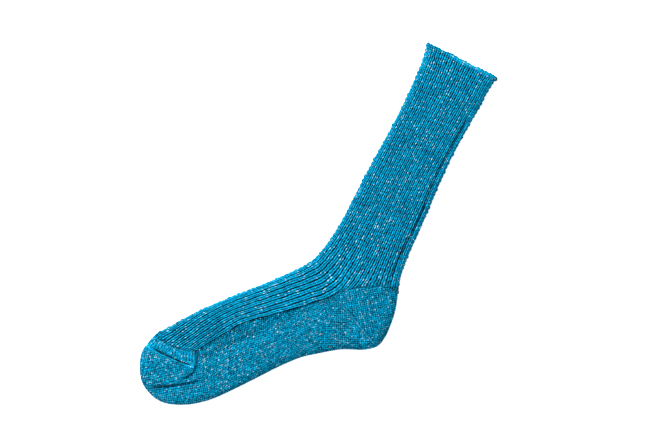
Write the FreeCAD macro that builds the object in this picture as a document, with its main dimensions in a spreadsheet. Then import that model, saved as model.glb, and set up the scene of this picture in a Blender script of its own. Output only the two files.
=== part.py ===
import FreeCAD, Part
import math
import os
from FreeCAD import Vector

# A ribbed crew sock lying flat on its side, slightly lofted.  The frame's origin is the centre
# of the ankle on the underside, +Y runs up the leg to the mouth, +Z stands up from the flat
# sock and -X is the instep side.  The knit is one hollow shell, closed at the toe and open at
# the mouth, and each knitted zone of it is a node of its own.

doc = FreeCAD.newDocument("crew_sock")

sizes = {
    # the flat outline
    "leg_length": 207.0,       # ankle centre to the edge of the mouth
    "leg_width": 62.2,         # flat width at the narrowest place of the leg
    "leg_shift": 0.7,          # how far the leg's middle lies behind the ankle centre
    "calf_height": 135.0,      # ankle centre to that narrowest place
    "cuff_width": 65.6,        # flat width below the flare of the mouth
    "mouth_width": 71.0,       # flat width of the mouth's edge
    "flare_depth": 16.0,       # below the mouth, where the leg starts to flare
    "ankle_width": 71.5,       # flat width across the ankle centre
    "ankle_shift": 1.9,        # how far the ankle's middle lies behind the ankle centre
    "heel_back": 51.0,         # ankle centre to the back of the heel
    "heel_drop": 65.5,         # ankle centre down to the corner of the heel
    "heel_round": 14.0,        # radius of the heel's corner
    "heel_start": 10.0,        # ankle centre down to where the rib ends at the back of the leg
    "foot_length": 245.0,      # back of the heel to the tip of the toe, along the foot
    "foot_width": 77.0,        # flat width of the foot
    "foot_angle": 41.2,        # degrees that the foot turns forward from the leg's line
    "heel_set": 16.3,          # ankle centre to the back of the heel, along the foot
    "instep_rise": 15.3,       # ankle centre up to the instep's line, across the foot
    "instep_round": 50.0,      # radius of the bend in front of the ankle
    "arch_reach": 92.0,        # ankle centre to the arch, along the foot
    "arch_lift": 1.4,          # how far the arch rises above the sole's line
    "ball_swell": 3.4,         # how far the ball and the heel's start fall below it
    "toe_reach": 48.0,         # tip of the toe back to where the toe starts to round
    "toe_fall": 13.3,          # how far the instep's side falls to the tip
    "toe_lift": 11.7,          # how far the sole's side rises to the tip
    "toe_round": 34.0,         # radius of the toe's two rounds
    "toe_depth": 57.0,         # length of the toe pocket on the sole side
    "gore_reach": 33.0,        # ankle centre to the point where both heel gores start
    "gore_fall": 2.9,          # how far that point lies below the instep's last rib
    # the fabric
    "loft": 15.0,              # height of the flat, slightly open sock
    "wall": 2.0,               # thickness of the ribbed knit
    "rim_flat": 0.2,           # straight part between the upper and the lower round of the rim
    "rib_pitch": 3.85,         # one rib and its groove
    "instep_ribs": 8.0,        # ribs that run on over one side of the instep
    "gore_width": 3.0,         # the narrowing line of the heel and the toe
    "seam_width": 3.0,         # the linked seam of the toe
    # the turned welt of the mouth
    "lip_depth": 6.0,          # smooth edge, where the knit turns inwards
    "welt_depth": 20.0,        # mouth to the lower edge of the turned-in layer
    "hem_gap": 1.0,            # room for the elastic between the two layers
    "hem_wall": 1.2,           # thickness of the turned-in layer
    "elastic_size": 0.7,       # thickness of one elastic thread
    "elastic_play": 0.15,      # clearance between a thread and the layer outside it
    "elastic_pitch": 2.1,      # one loop to the next
    "elastic_loops": 6.0,
    # the bands that bend
    "ankle_top": 45.0,         # upper edge of the band that bends at the ankle
    "fold_height": 105.0,      # line on which the leg folds over
    "fold_half": 12.0,         # half the height of the band that folds
    "body_gap": 0.4,           # gap between a band and the zone that it turns
}

sheet = doc.addObject("Spreadsheet::Sheet", "Sizes")
for row, (alias, value) in enumerate(sizes.items(), start=1):
    sheet.set("A%d" % row, alias)
    sheet.set("B%d" % row, str(value))
    sheet.setAlias("B%d" % row, alias)
doc.recompute()


def size(alias):
    return float(sheet.get(alias))


turn = math.radians(size("foot_angle"))
along_foot = Vector(-math.sin(turn), -math.cos(turn), 0)
across_foot = Vector(-math.cos(turn), math.sin(turn), 0)


def on_foot(reach, rise):
    """A point given along the foot from the ankle centre, and across it towards the instep."""
    return along_foot * reach + across_foot * rise


toe_tip = size("foot_length") - size("heel_set")
instep_line = size("instep_rise")
sole_line = instep_line - size("foot_width")
side_line = instep_line - size("instep_ribs") * size("rib_pitch")
half_leg = size("leg_width") / 2
half_ankle = size("ankle_width") / 2
half_mouth = size("mouth_width") / 2
half_cuff = size("cuff_width") / 2
toe_start = toe_tip - size("toe_reach")
heel_corner = Vector(size("heel_back"), -size("heel_drop"), 0)
run_out = 20.0        # the forms run on past the mouth, where the zones cut them off
outside = 60.0        # how far a zone's cutter stands out past the sock
mouth_round = 12.0    # corners of the forms past the mouth
leg_round = 300.0     # the leg's gentle waist
bend_round = 40.0     # the flare, the ankle and the back of the heel
toe_blend = 60.0      # where the instep and the sole run into the toe
arch_round = 150.0    # the hollow of the arch
heel_blend = 100.0    # from the arch into the heel
heel_run = 32.0       # the arch back to the start of the heel
shoulder_fall = 1.8   # how far the instep has fallen where the toe starts to round


# ---- the outline, as corners and the radius that rounds each one --------------------------

def on_leg(side, half_width, height):
    """A point beside the leg's middle line; side is -1 in front and +1 behind."""
    return Vector(size("leg_shift") + side * half_width, height, 0)


def on_ankle(side):
    return Vector(size("ankle_shift") + side * half_ankle, 0, 0)


def bend_corner():
    """Where the front of the leg would meet the line of the instep."""
    fall = (on_ankle(-1) - on_leg(-1, half_leg, size("calf_height"))).normalize()
    short = instep_line - on_ankle(-1).dot(across_foot)
    return on_ankle(-1) + fall * (short / fall.dot(across_foot))


def mouth_corner(side):
    slope = (half_mouth - half_cuff) / size("flare_depth")
    return on_leg(side, half_mouth + slope * run_out, size("leg_length") + run_out)


def outline_corners():
    flare_height = size("leg_length") - size("flare_depth")
    heel_middle = Vector(size("heel_back"), -0.55 * size("heel_drop"), 0)
    return [
        (mouth_corner(-1), mouth_round),
        (on_leg(-1, half_cuff, flare_height), bend_round),
        (on_leg(-1, half_leg, size("calf_height")), leg_round),
        (bend_corner(), size("instep_round")),
        (on_foot(toe_start, instep_line - shoulder_fall), toe_blend),
        (on_foot(toe_tip, instep_line - size("toe_fall")), size("toe_round")),
        (on_foot(toe_tip, sole_line + size("toe_lift")), size("toe_round")),
        (on_foot(toe_start, sole_line - size("ball_swell")), toe_blend),
        (on_foot(size("arch_reach"), sole_line + size("arch_lift")), arch_round),
        (on_foot(size("arch_reach") - heel_run, sole_line - size("ball_swell")), heel_blend),
        (heel_corner, size("heel_round")),
        (heel_middle, bend_round),
        (on_ankle(1), bend_round),
        (on_leg(1, half_leg, size("calf_height")), leg_round),
        (on_leg(1, half_cuff, flare_height), bend_round),
        (mouth_corner(1), mouth_round),
    ]


def rounded(corners):
    """Straight runs through the corners, joined by tangent arcs: the segments in order."""
    arcs = []
    for index, (corner, radius) in enumerate(corners):
        before = (corners[index - 1][0] - corner).normalize()
        after = (corners[(index + 1) % len(corners)][0] - corner).normalize()
        half_inner = before.getAngle(after) / 2
        cut_back = radius / math.tan(half_inner)
        middle = (before + after).normalize()
        crown = corner + middle * (radius / math.sin(half_inner) - radius)
        arcs.append(Part.Arc(corner + before * cut_back, crown, corner + after * cut_back))
    segments = []
    for arc, following in zip(arcs, arcs[1:] + arcs[:1]):
        segments.append(arc)
        segments.append(Part.LineSegment(arc.EndPoint, following.StartPoint))
    return segments


outline = Part.Face(Part.Wire([segment.toShape() for segment in rounded(outline_corners())]))


# ---- the padded forms that bound the layers of knit ----------------------------------------

def base_plane(body):
    return next(f for f in body.Origin.OriginFeatures if f.Role == "XY_Plane")


def form(label, *insets):
    """The sock's outer form, or the same form set in all round by the sum of named sizes."""
    depth = sum(size(name) for name in insets)
    inset = " + ".join("Sizes." + name for name in insets) or "0 * Sizes.wall"
    edges = outline.makeOffset2D(-depth).Edges if insets else outline.Edges
    body = doc.addObject("PartDesign::Body", label)
    sketch = body.newObject("Sketcher::SketchObject", label + "_outline")
    sketch.AttachmentSupport = [(base_plane(body), "")]
    sketch.MapMode = "FlatFace"
    for edge in edges:
        sketch.addGeometry(edge.Curve.trim(edge.FirstParameter, edge.LastParameter), False)
    pad = body.newObject("PartDesign::Pad", label + "_pad")
    pad.Profile = sketch
    pad.setExpression("Length", "Sizes.loft - 2 * (%s)" % inset)
    doc.recompute()
    level = [i for i, edge in enumerate(pad.Shape.Edges, start=1) if is_level(edge)]
    rim = body.newObject("PartDesign::Fillet", label + "_rim")
    rim.Base = (pad, ["Edge%d" % i for i in level])
    rim.setExpression("Radius", "Sizes.loft / 2 - Sizes.rim_flat - (%s)" % inset)
    body.Tip = rim
    body.setExpression("Placement.Base.z", inset)
    return body


def is_level(edge):
    return abs(edge.BoundBox.ZLength) < 1e-6


outer_form = form("outer_form")
knit_inside = form("knit_inside", "wall")
hem_outside = form("hem_outside", "wall", "hem_gap")
hem_inside = form("hem_inside", "wall", "hem_gap", "hem_wall")
elastic_outside = form("elastic_outside", "wall", "elastic_play")
elastic_inside = form("elastic_inside", "wall", "elastic_play", "elastic_size")


def layer(label, outer, inner):
    """One layer of fabric: what lies between two forms."""
    cut = doc.addObject("Part::Cut", label)
    cut.Base = outer
    cut.Tool = inner
    return cut


knit = layer("knit_layer", outer_form, knit_inside)
lip = layer("lip_layer", outer_form, hem_inside)
hem = layer("hem_layer", hem_outside, hem_inside)
elastic = layer("elastic_layer", elastic_outside, elastic_inside)


# ---- cutters: a slab across the leg, or an upright prism over a polygon --------------------

def slab(label, bottom, top):
    """The whole width of the sock between two heights of the leg, given as expressions."""
    box = doc.addObject("Part::Box", label)
    box.Length = 4 * outside
    box.setExpression("Width", "(%s) - (%s)" % (top, bottom))
    box.setExpression("Height", "Sizes.loft + 2")
    box.setExpression("Placement.Base.x", str(-2 * outside))
    box.setExpression("Placement.Base.y", bottom)
    box.setExpression("Placement.Base.z", "-1")
    return box


def prism(label, points):
    face = doc.addObject("Part::Feature", label + "_face")
    face.Shape = Part.Face(Part.makePolygon(points + points[:1]))
    solid = doc.addObject("Part::Extrusion", label)
    solid.Base = face
    solid.DirMode = "Custom"
    solid.Dir = Vector(0, 0, 1)
    solid.Solid = True
    solid.setExpression("LengthFwd", "Sizes.loft + 1")
    solid.LengthRev = 1
    return solid


def node(label, fabric, cutter, *more):
    """A knitted zone: the fabric inside its cutters."""
    common = doc.addObject("Part::MultiCommon", label + "_zone")
    common.Shapes = [fabric, cutter, *more]
    common.Label = label
    return common


# ---- the lines that part the zones, drawn past the sock's edge at their open ends ----------

gore_point = on_foot(size("gore_reach"), side_line - size("gore_fall"))
bend_end = gore_point + (bend_corner() - gore_point) * 2
heel_back_top = Vector(size("heel_back") - 13, -size("heel_start"), 0)
heel_top_run = Vector(28, 10.5, 0)
heel_top = [heel_back_top - heel_top_run, heel_back_top, heel_back_top + heel_top_run * 2]
gore_run = (heel_corner + Vector(-2, 3, 0) - gore_point).normalize()
gore_end = gore_point + gore_run * 2 * outside
gore_side = Vector(gore_run.y, -gore_run.x, 0) * size("gore_width")
heel_base = on_foot(size("arch_reach") - 19, sole_line - outside / 4)
pocket_sole = on_foot(toe_tip - size("toe_depth"), side_line - 1.5)
pocket_edge = on_foot(toe_tip - size("toe_depth"), sole_line - outside / 2)
pleat = on_foot(toe_tip - 51, side_line - 9.5)
side = [on_foot(66, side_line - 0.8), on_foot(97, side_line + 0.8), on_foot(130, side_line + 1.5)]
rib_ends = [on_foot(toe_tip - 24, instep_line + 20), on_foot(toe_tip - 36.5, instep_line - 17.3),
            on_foot(toe_tip - 50.7, side_line - 1)]
seam_line = [on_foot(toe_tip - 16, instep_line + 20), on_foot(toe_tip - 26.7, instep_line - 12),
             on_foot(toe_tip - 41, side_line - 7.8)]
toe_gore = [pleat, on_foot(toe_tip - 36.7, side_line - 23.5), on_foot(toe_tip - 26, side_line - 23.5),
            on_foot(toe_tip - 11, side_line - 15.4), on_foot(toe_tip + outside / 2, side_line + 5)]


def moved(points, shift):
    return [point + shift for point in points]


def strip(points, shift):
    return points + moved(points, shift)[::-1]


seam_shift = along_foot * size("seam_width")
toe_shift = across_foot * -size("gore_width")
seam_far = moved(seam_line, seam_shift)
toe_gore_far = moved(toe_gore, toe_shift)
toe_front = on_foot(toe_tip + outside / 2, instep_line + 20)
toe_back = on_foot(toe_tip + outside / 2, sole_line - outside / 2)

# ---- the leg, from the mouth down ----------------------------------------------------------

mouth = "Sizes.leg_length"
lip_base = mouth + " - Sizes.lip_depth"
hem_base = mouth + " - Sizes.welt_depth"
fold_top = "Sizes.fold_height + Sizes.fold_half"
fold_base = "Sizes.fold_height - Sizes.fold_half"

welt_edge = node("welt_edge", lip, slab("mouth_slab", lip_base, mouth))
welt_hem = node("welt_hem", hem, slab("hem_slab", hem_base, lip_base))


def elastic_loops():
    """Flattened loops of covered elastic, one above the other between the welt's layers."""
    loops = []
    for index in range(int(size("elastic_loops"))):
        low = "%s + %d * Sizes.elastic_pitch + Sizes.elastic_play" % (hem_base, index)
        cutter = slab("loop_slab_%d" % index, low, low + " + Sizes.elastic_size")
        loop = doc.addObject("Part::MultiCommon", "loop_%d" % index)
        loop.Shapes = [elastic, cutter]
        loops.append(loop)
    group = doc.addObject("Part::Compound", "elastic_group")
    group.Links = loops
    group.Label = "elastic_yarn"
    return group


leg_nodes = [
    welt_edge,
    welt_hem,
    elastic_loops(),
    node("leg_upper", knit, slab("upper_slab", fold_top + " + Sizes.body_gap", lip_base)),
    node("leg_fold_band", knit, slab("fold_slab", fold_base, fold_top)),
    node("leg_lower", knit, slab("lower_slab", "Sizes.ankle_top + Sizes.body_gap", fold_base)),
]

# ---- the ankle, the heel, the foot and the toe ---------------------------------------------

ankle_edge = [Vector(x, size("ankle_top"), 0) for x in (-2 * outside, 2 * outside)]
ankle = prism("ankle_prism", ankle_edge + heel_top[::-1] + [gore_point, bend_end])
upper = prism("heel_upper_prism", [gore_point] + heel_top + [gore_end])
gore = prism("heel_gore_prism", strip([gore_point, gore_end], gore_side))
lower = prism("heel_lower_prism", moved([gore_point, gore_end], gore_side) + [heel_base])
instep = prism("instep_prism", [bend_end, gore_point] + side + [pocket_sole] + rib_ends[::-1])
sole = prism("sole_prism", [gore_point, gore_point + gore_side, heel_base, pocket_edge, pocket_sole]
             + side[::-1])
plain = prism("plain_prism", rib_ends + [pocket_sole, pleat] + seam_line[::-1])
seam = prism("seam_prism", seam_line + [pleat] + seam_far[::-1])
toe_top = prism("toe_upper_prism", seam_far + toe_gore + [toe_front])
toe_line = prism("toe_gore_prism", strip(toe_gore, toe_shift))
toe_base = prism("toe_lower_prism", [pocket_sole, pleat] + toe_gore_far + [toe_back, pocket_edge])


def half(label, level):
    """One of the two flat sides: everything above or below the middle of the sock."""
    box = doc.addObject("Part::Box", label)
    box.Length = 8 * outside
    box.Width = 10 * outside
    box.setExpression("Height", "Sizes.loft")
    box.Placement.Base = Vector(-4 * outside, -5 * outside, 0)
    box.setExpression("Placement.Base.z", level)
    return box


near_side = half("near_side", "Sizes.loft / 2")
far_side = half("far_side", "-Sizes.loft / 2")

foot_nodes = [
    node("ankle_band", knit, ankle),
    node("heel_upper", knit, upper),
    node("heel_gore_near", knit, gore, near_side),
    node("heel_gore_far", knit, gore, far_side),
    node("heel_lower", knit, lower),
    node("instep_panel", knit, instep),
    node("sole_panel", knit, sole),
    node("plain_courses", knit, plain),
    node("toe_seam", knit, seam),
    node("toe_upper", knit, toe_top),
    node("toe_gore_near", knit, toe_line, near_side),
    node("toe_gore_far", knit, toe_line, far_side),
    node("toe_lower", knit, toe_base),
]

# ---- check every feature, then write one file for each node --------------------------------

doc.recompute()
nodes = leg_nodes + foot_nodes
faults = [o.Name for o in doc.Objects if "Invalid" in o.State or "Error" in o.State]
faults += [n.Label for n in nodes if n.Shape.isNull() or not n.Shape.isValid() or not n.Shape.Solids]
if faults:
    raise RuntimeError("these features failed: " + ", ".join(faults))

os.makedirs("parts", exist_ok=True)
for item in nodes:
    item.Shape.exportStep(os.path.join("parts", item.Label + ".step"))
    print("%-16s %2d solid(s) %8.0f mm3" % (item.Label, len(item.Shape.Solids), item.Shape.Volume))
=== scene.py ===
import math

import bpy
import numpy as np
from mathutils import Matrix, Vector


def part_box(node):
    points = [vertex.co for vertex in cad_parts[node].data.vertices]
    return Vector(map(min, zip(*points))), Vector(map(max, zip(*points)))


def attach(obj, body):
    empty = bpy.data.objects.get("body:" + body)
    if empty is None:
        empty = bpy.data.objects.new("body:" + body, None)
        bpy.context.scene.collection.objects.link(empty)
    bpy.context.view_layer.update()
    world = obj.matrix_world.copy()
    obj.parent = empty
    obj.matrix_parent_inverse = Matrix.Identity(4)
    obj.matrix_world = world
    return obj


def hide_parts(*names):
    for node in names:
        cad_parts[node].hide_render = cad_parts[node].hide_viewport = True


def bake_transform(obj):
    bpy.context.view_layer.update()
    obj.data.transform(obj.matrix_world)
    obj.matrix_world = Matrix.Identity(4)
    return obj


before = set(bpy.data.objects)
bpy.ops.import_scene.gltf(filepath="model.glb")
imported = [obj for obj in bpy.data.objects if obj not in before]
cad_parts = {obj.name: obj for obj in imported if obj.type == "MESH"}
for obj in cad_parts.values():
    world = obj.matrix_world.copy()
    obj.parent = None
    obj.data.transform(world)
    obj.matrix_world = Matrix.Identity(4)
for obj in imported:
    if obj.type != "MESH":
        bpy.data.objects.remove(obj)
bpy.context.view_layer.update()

mm = 0.001
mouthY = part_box("welt_edge")[1][1] / mm      # the leg's open end
ankleTop = (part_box("ankle_band")[1][1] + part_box("leg_lower")[0][1]) / 2 / mm
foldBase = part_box("leg_fold_band")[0][1] / mm
foldTop = (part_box("leg_fold_band")[1][1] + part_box("leg_upper")[0][1]) / 2 / mm
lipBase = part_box("welt_edge")[0][1] / mm
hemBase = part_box("welt_hem")[0][1] / mm


# The camera looks straight down and is turned so that the leg leans up to the right.
cameraLook = dict(place=(-46.2, 18.5), height=1800.0, turn=26.5, width=596.7, sensor=36.0)


def makeCamera():
    data = bpy.data.cameras.new("camera")
    data.sensor_width = cameraLook["sensor"]
    data.lens = cameraLook["sensor"] * cameraLook["height"] / cameraLook["width"]
    camera = bpy.data.objects.new("camera", data)
    bpy.context.collection.objects.link(camera)
    x, y = cameraLook["place"]
    camera.location = (x * mm, y * mm, cameraLook["height"] * mm)
    camera.rotation_euler = (0, 0, math.radians(cameraLook["turn"]))
    bpy.context.scene.camera = camera


makeCamera()
print("camera ready")


# The sock's flat outline and the lines its zones are knitted between, in millimetres.
outlinePoints = np.array([
    (-38.2, 217), (-35.7, 207), (-34.2, 200), (-32.9, 193), (-31.7, 183), (-30.8, 165),
    (-30.4, 147), (-31.0, 112), (-32.3, 82), (-32.9, 45), (-33.2, 24), (-34.8, 8),
    (-38.2, -9.5), (-41, -18.5), (-46.3, -27.2), (-60, -44.3), (-80, -67.3), (-100, -89.8),
    (-118, -112), (-130, -129.5), (-139.3, -143), (-142.3, -153.2), (-143.4, -160),
    (-139.5, -175.5), (-130.5, -188.3), (-118, -194.6), (-106, -196), (-91, -191.5),
    (-75, -181.5), (-66, -173.2), (-55, -160), (-40, -140.3), (-20, -113.8), (-10, -102.6),
    (2, -92.8), (20, -79.6), (40, -69.6), (48.2, -62), (50.6, -51), (50.2, -40),
    (48.4, -27), (43.4, -11), (39.6, -1), (37.6, 9), (36, 27), (35.3, 45),
    (34.2, 67), (32.6, 92), (31.7, 125), (32.7, 155), (33.9, 178), (34.2, 192),
    (35.1, 201), (36.2, 207), (38.8, 217)], float)
# places along the outline, counted in its points
markAnkleFront, markBend, markRibEnd, markSeam, markToeGore = 9, 13, 20, 21, 24
markToeLine, markHeelBase, markHeelCorner, markHeelTop, markAnkleBack = 29, 34, 37, 41, 45

gorePoint = np.array([-8.5, -36.8])          # where instep, heel and sole meet
pocketPoint = np.array([-99.5, -141.0])      # where instep, sole and toe meet
earLine = np.array([(-99.5, -141), (-95.6, -147), (-93.6, -153), (-93.4, -158.5)])   # fold beside the toe
middleAnkle = np.array([(-2.2, 45), (-1.9, 20), (-1.9, 0), (-2.9, -16), (-4.8, -28), (-8.5, -36.8)])
sideLine = np.array([(-8.5, -36.8), (-14, -43.8), (-20, -49.5), (-32.5, -62), (-52, -79.5),
                     (-73, -99), (-84, -116), (-93, -129.5), (-99.5, -141)])

knit = dict(
    legRibs=20,             # ribs across one flat side of the leg
    instepRibs=9,           # of them, the ones that run on over the instep
    ribSteps=10,            # mesh columns in a rib
    courseMm=1.7,           # height of one course
    courseSteps=4,          # mesh rows in a course
    plainWale=1.95,         # width of a plain stitch
    plainCourse=1.9,        # height of a plain stitch
    soleWales=30,           # plain stitches from the side line to the sole's edge
    rimPlan=8.5,            # how far in from the outline the rim's round reaches
    rimHeight=6.6,          # half the height between the two flat sides
    restHeight=6.9,         # height of the rim's middle above the table
    thickness=1.9,          # of the fabric behind its stitches
    grooveDepth=1.5,        # between two ribs
    legDepth=0.75,          # roundness of each stitch's two legs
    plainLevel=0.45,        # how far the plain knit lies below the ribs' crowns
    ribSway=0.035,          # how far a rib wanders sideways, in ribs
    plainSway=0.07,         # the same for plain stitches
    heelRise=28.0,          # bow of the courses behind the ankle and over the heel
    toeDrop=16.0,           # bow of the courses at the end of the ribs
)


rimArc = (knit["rimPlan"] + knit["rimHeight"]) / 2 * math.pi / 2      # length of the rim's quarter round
rimSpare = rimArc - knit["rimPlan"]


# A smooth curve through points: on each stretch a cubic whose ends take the slope of the
# parabola through three neighbouring points; the parameter is the length of the chords.
def curveThrough(points):
    points = np.asarray(points, float)
    chord = np.linalg.norm(np.diff(points, axis=0), axis=1)
    knots = np.concatenate([[0], np.cumsum(chord)])
    slope = np.diff(points, axis=0) / chord[:, None]
    inner = (slope[1:] * chord[:-1, None] + slope[:-1] * chord[1:, None]) / (chord[1:] + chord[:-1])[:, None]
    tangent = np.vstack([2 * slope[:1] - inner[:1], inner, 2 * slope[-1:] - inner[-1:]])

    def at(place):
        place = np.asarray(place, float)
        cell = np.clip(np.searchsorted(knots, place, side="right") - 1, 0, len(chord) - 1)
        width = chord[cell]
        t = ((place - knots[cell]) / width)[..., None]
        width = width[..., None]
        return ((2 * t**3 - 3 * t**2 + 1) * points[cell] + (t**3 - 2 * t**2 + t) * width * tangent[cell]
                + (3 * t**2 - 2 * t**3) * points[cell + 1] + (t**3 - t**2) * width * tangent[cell + 1])
    return at, knots


outlineAt, outlineKnots = curveThrough(outlinePoints)
middleAt, middleKnots = curveThrough(middleAnkle)
sideAt, sideKnots = curveThrough(sideLine)
earAt, earKnots = curveThrough(earLine)
outlineDense = outlineAt(np.linspace(0, outlineKnots[-1], 1400))
outlineRun = np.gradient(outlineDense, axis=0)
outlineRun /= np.linalg.norm(outlineRun, axis=1)[:, None]
outlineInward = np.stack([-outlineRun[:, 1], outlineRun[:, 0]], axis=1)   # the outline runs anticlockwise


# Points of the outline from one mark to another, t from 0 to 1.
def along(t, markA, markB):
    return outlineAt(outlineKnots[markA] + np.asarray(t) * (outlineKnots[markB] - outlineKnots[markA]))


# The outline's point at a height of the leg, in front or behind.
def legSide(y, front):
    span = outlineDense[:500][::-1] if front else outlineDense[-480:]      # the samples beside the leg
    order = np.argsort(span[:, 1])
    return np.stack([np.interp(y, span[order, 1], span[order, 0]), y], axis=-1)


def smooth(t):
    t = np.clip(t, 0, 1)
    return t * t * (3 - 2 * t)


# A fixed random number from 0 to 1 for each pair of whole numbers.
def hashed(a, b, seed):
    mixed = np.sin(a * 12.9898 + b * 78.233 + seed * 37.719) * 43758.5453
    return mixed - np.floor(mixed)


# Distance in from the outline, and the outline's inward direction there: the nearest outline
# sample's offset, taken along that sample's inward normal.  Goes through the points in blocks.
def rimDistance(plan):
    flat = plan.reshape(-1, 2)
    distance = np.empty(len(flat))
    inward = np.empty((len(flat), 2))
    block = 20000
    for start in range(0, len(flat), block):
        part = flat[start:start + block]
        gap = ((part[:, None, :] - outlineDense[None, :, :]) ** 2).sum(axis=2)
        nearest = gap.argmin(axis=1)
        inward[start:start + block] = outlineInward[nearest]
        off = part - outlineDense[nearest]
        distance[start:start + block] = (off * outlineInward[nearest]).sum(axis=1)
    return distance.reshape(plan.shape[:-1]), inward.reshape(plan.shape)


# Where a point would lie if the rim were unrolled flat: further out by what the round takes up.
def unrolled(plan, distance, inward):
    turned = np.arccos(np.clip(1 - distance / knit["rimPlan"], -1, 1)) / (math.pi / 2)
    arc = np.where(distance < knit["rimPlan"], rimArc * np.clip(turned, 0, 1), distance + rimSpare)
    return plan + inward * (arc - distance - rimSpare)[..., None]


# Distance to a broken line, signed positive on its right, and how far along it, 0 to 1.
def lineDistance(plan, points):
    points = np.asarray(points, float)
    best = np.full(plan.shape[:-1], 1e9)
    signed = np.zeros(plan.shape[:-1])
    place = np.zeros(plan.shape[:-1])
    total = len(points) - 1
    for index in range(total):
        a, b = points[index], points[index + 1]
        run = b - a
        t = np.clip(((plan - a) * run).sum(axis=-1) / (run @ run), 0, 1)
        off = plan - (a + t[..., None] * run)
        gap = np.linalg.norm(off, axis=-1)
        side = np.where(run[0] * off[..., 1] - run[1] * off[..., 0] < 0, 1.0, -1.0)
        closer = gap < best
        best = np.where(closer, gap, best)
        signed = np.where(closer, side * gap, signed)
        place = np.where(closer, (index + t) / total, place)
    return signed, place


def bell(distance, width):
    return np.exp(-(distance / width) ** 2)


# Where the cloth folds, as lines over the flat outline, with how deep and wide the two long ones are.
lay = dict(
    soleDepth=5.2,
    soleWidth=6.5,
    backDepth=4.2,
    backWidth=1.5,
    soleValley=[(-22, -58), (-47, -90), (-62, -111), (-76, -127), (-84, -140)],
    backFold=[(29, 172), (28.4, 155), (27.6, 127), (26.7, 110), (27.3, 87), (29.6, 62.7), (30, 44),
              (29.6, 23), (30.4, 5), (31.6, -4), (32.6, -9)],
    earCrease=[(-100, -138.5), (-96.2, -144.5), (-93.6, -151), (-93, -158), (-97, -165), (-104, -170)],
    toeCrease=[(-80, -158.5), (-88, -164.5), (-97, -171.5), (-107.5, -178.5), (-118, -185), (-123, -187)],
    seamLine=[(-140, -154.5), (-136.6, -155.3), (-122.8, -155.5), (-112, -156), (-104.1, -157),
              (-101.5, -158.5)],
)


# Folds of the upper side in millimetres up: slow waves, a soft valley along the sole, a narrow
# fold beside the back edge, two steps at the toe that fall away below the line, and the seam.
def layOfCloth(plan):
    x, y = plan[..., 0], plan[..., 1]
    height = 0.35 * np.sin(x * 0.11 + y * 0.045) + 0.3 * np.sin(y * 0.083 - x * 0.05 + 1.7)
    height += 0.25 * np.sin(x * 0.21 - y * 0.12 + 0.6)
    off, place = lineDistance(plan, lay["soleValley"])
    swell = np.sin(math.pi * np.clip(place, 0.02, 0.98)) ** 0.6
    height -= lay["soleDepth"] * bell(off, lay["soleWidth"]) * swell
    off, place = lineDistance(plan, lay["backFold"])
    height -= lay["backDepth"] * bell(off, lay["backWidth"]) * smooth(place * 7) * smooth((1 - place) * 3)
    for line, up, down in (("earCrease", 1.6, -3.0), ("toeCrease", 1.4, -4.0)):
        off, place = lineDistance(plan, lay[line])
        strength = smooth(place * 4) * smooth((1 - place) * 3.5)
        upper = up * np.exp(-np.abs(off) / 6.0)
        lower = down * np.exp(-np.abs(off + 1.5) / 9.0)
        height += strength * (lower + (upper - lower) * smooth((off + 2.4) / 3.4))
    off, place = lineDistance(plan, lay["seamLine"])
    furrow = 0.8 * bell(off, 3.2) - 3.4 * bell(off, 1.1)
    height += smooth((1 - place) * 7) * smooth(place * 3.5) * furrow
    return height


# The smooth fabric without its stitches: the rim is a quarter ellipse in from the outline, the
# flat side lies level, and the upper side adds the folds.  Gives points and normals.
def fabricBase(plan, near, rim=None):
    distance, inward = rim if rim else rimDistance(plan)
    width, height = knit["rimPlan"], knit["rimHeight"]
    sink = 1 - np.clip(distance, 0, width) / width
    rise = height * np.sqrt(np.clip(1 - sink ** 2, 0, 1))
    normal = np.empty(plan.shape[:-1] + (3,))
    side = np.where(near, 1.0, -1.0)
    normal[..., :2] = -inward * (sink * height)[..., None]
    normal[..., 2] = np.sqrt(np.clip(1 - sink ** 2, 0, 1)) * width * side
    normal /= np.linalg.norm(normal, axis=-1)[..., None]
    level = knit["restHeight"] + side * rise
    folds = layOfCloth(plan) * np.clip(1 - sink, 0, 1) ** 0.5
    level = level + np.where(near, folds, 0)
    return np.concatenate([plan, level[..., None]], axis=-1), normal


# Stitches.  Two round legs lie side by side and close towards the toe: each leg is half an
# ellipse about a line that leans in as the course goes on, fullest in the middle of the course.
def stitchLegs(across, course, wide, narrow, girth, dip):
    turn = course - np.floor(course)
    centre = wide + (narrow - wide) * turn
    offset = (np.abs(across) - centre) / (girth * (0.85 + 0.3 * np.sin(math.pi * turn)))
    return np.sqrt(np.clip(1 - offset ** 2, 0, 1)) * (1 - dip + dip * np.sin(math.pi * turn) ** 0.8)


# The hand of the yarn: wales wander a little, and courses are not quite level from wale to wale.
def wander(plan, wales, courses, sway):
    x, y = plan[..., 0], plan[..., 1]
    wales = wales + sway * (np.sin(0.31 * x + 0.19 * y) + np.sin(0.83 * y - 0.47 * x + 1.1)
                            + 0.8 * np.sin(1.3 * x + 1.1 * y + 2.3))
    side = np.floor(wales)
    courses = courses + 0.3 * (hashed(side, 0.0, 31) - 0.5) + 0.12 * np.sin(0.9 * x + 1.6 * y)
    return wales, courses


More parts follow.
